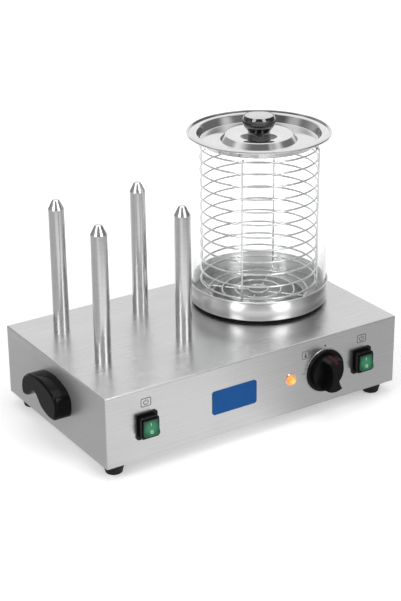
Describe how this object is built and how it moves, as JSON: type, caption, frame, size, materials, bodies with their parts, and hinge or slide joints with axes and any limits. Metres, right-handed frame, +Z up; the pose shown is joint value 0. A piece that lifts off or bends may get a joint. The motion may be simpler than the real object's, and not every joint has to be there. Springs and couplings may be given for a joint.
{
  "type": "hot dog steamer",
  "caption": "Electric hot dog steamer with heated bun spikes, a glass steaming cylinder, a wire basket, a lid, side grips and front controls.",
  "frame": {"origin": "bottom centre of the whole machine, on the surface that the feet stand on", "axes": "+X along the front to the right, +Y towards the rear, +Z up"},
  "size_m": [0.55, 0.344, 0.4166],
  "materials": {
    "stainless": "brushed stainless sheet, grain along the width",
    "galvanised": "plain zinc-coated sheet",
    "zinc_steel": "zinc-plated steel",
    "black_rubber": "matt black rubber",
    "handle_black": "moulded black plastic with a satin gloss",
    "matte_black": "fine-grained black plastic",
    "green_rocker": "translucent green plastic",
    "brass": "plain brass",
    "bright_trim": "bright plated trim",
    "knob_black": "moulded black plastic, semi-gloss",
    "amber_lens": "amber lens, lit from behind",
    "white_plastic": "white plastic",
    "badge_blue": "smooth blue enamel, bare",
    "aluminium": "turned and polished aluminium",
    "heater_sheath": "dull heater sheath",
    "satin_steel": "satin stainless, brushed round",
    "pan_steel": "drawn stainless",
    "cast_aluminium": "plain cast aluminium",
    "clear_glass": "clear heat-resistant glass",
    "bright_wire": "bright plated wire",
    "polished_steel": "mirror-polished spun stainless",
    "gloss_black": "high-gloss black plastic"
  },
  "bodies": {
    "base": {"casing": "stainless", "bottom_plate": "galvanised", "bottom_screws": "zinc_steel", "foot_front_left": "black_rubber", "foot_front_right": "black_rubber", "foot_rear_left": "black_rubber", "foot_rear_right": "black_rubber", "foot_screws": "zinc_steel", "handle_left": "handle_black", "handle_right": "handle_black", "handle_inserts": "brass", "handle_screws": "zinc_steel", "switch_housing_left": "matte_black", "switch_housing_right": "matte_black", "switch_terminals": "brass", "thermostat_body": "galvanised", "thermostat_screws": "zinc_steel", "knob_bezel": "bright_trim", "lamp_lens": "amber_lens", "lamp_holder": "bright_trim", "lamp_nut": "white_plastic", "badge": "badge_blue", "spike_front_left": "aluminium", "spike_front_right": "aluminium", "spike_rear_left": "aluminium", "spike_rear_right": "aluminium", "spike_nuts": "zinc_steel", "spike_heaters": "heater_sheath", "base_gasket": "black_rubber", "collar": "satin_steel", "water_pan": "pan_steel", "tray_screws": "zinc_steel", "heating_plate": "cast_aluminium", "heating_element": "heater_sheath", "element_clamp": "galvanised", "clamp_nut": "zinc_steel", "thermal_cutout": "matte_black", "cable_gland": "matte_black", "gland_nut": "matte_black", "terminal_block": "white_plastic"},
    "glass": {"glass_cylinder": "clear_glass"},
    "basket": {"basket_rings": "bright_wire", "basket_uprights": "bright_wire", "basket_floor": "bright_wire"},
    "lid": {"lid": "polished_steel", "lid_knob": "gloss_black", "lid_knob_cap": "polished_steel", "lid_knob_screw": "zinc_steel"},
    "rocker_left": {"rocker_left": "green_rocker"},
    "rocker_right": {"rocker_right": "green_rocker"},
    "knob": {"thermostat_knob": "knob_black", "thermostat_shaft": "zinc_steel"}
  },
  "joints": [
    {"name": "glass_lift", "type": "slide", "parent": "base", "child": "glass", "axis": [0, 0, 1], "range_m": [0, 0.2]},
    {"name": "basket_lift", "type": "slide", "parent": "glass", "child": "basket", "axis": [0, 0, 1], "range_m": [0, 0.26]},
    {"name": "lid_lift", "type": "slide", "parent": "basket", "child": "lid", "axis": [0, 0, 1], "range_m": [0, 0.15]},
    {"name": "rocker_left_tip", "type": "hinge", "parent": "base", "child": "rocker_left", "pos_m": [-0.186, -0.1545, 0.0715], "axis": [1, 0, 0], "range_deg": [0, 18]},
    {"name": "rocker_right_tip", "type": "hinge", "parent": "base", "child": "rocker_right", "pos_m": [0.186, -0.1545, 0.0715], "axis": [1, 0, 0], "range_deg": [0, 18]},
    {"name": "knob_turn", "type": "hinge", "parent": "base", "child": "knob", "pos_m": [0.119, -0.144, 0.072], "axis": [0, 1, 0], "range_deg": [0, 270]}
  ]
}
